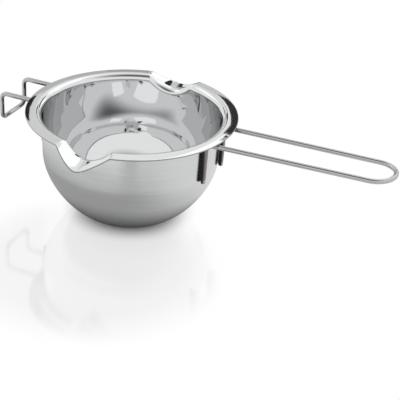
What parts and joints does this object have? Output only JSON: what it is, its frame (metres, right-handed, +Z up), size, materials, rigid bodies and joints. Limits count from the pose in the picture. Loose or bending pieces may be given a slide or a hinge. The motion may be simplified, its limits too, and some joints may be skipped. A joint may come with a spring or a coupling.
{
  "type": "melting bowl",
  "caption": "Polished steel melting bowl with flat base, out-turned flange, opposed pouring lips, a long bent-wire handle and a bent-wire hook that rests on a pot's rim.",
  "frame": {"origin": "middle of the flat base's underside, on the bowl's axis", "axes": "+Z up along the bowl's axis, +X from the bowl's axis along the handle, -X towards the hook, -Y and +Y towards the pouring lips"},
  "size_m": [0.2937, 0.1664, 0.0796],
  "materials": {
    "bowl_steel": "polished stainless steel sheet, near mirror",
    "wire_steel": "polished stainless steel wire",
    "weld_steel": "dull weld metal"
  },
  "bodies": {
    "root": {"bowl_shell": "bowl_steel", "handle_wire": "wire_steel", "hook_wire": "wire_steel", "weld_handle_front": "weld_steel", "weld_handle_back": "weld_steel", "weld_hook_front": "weld_steel", "weld_hook_back": "weld_steel"}
  },
  "joints": []
}
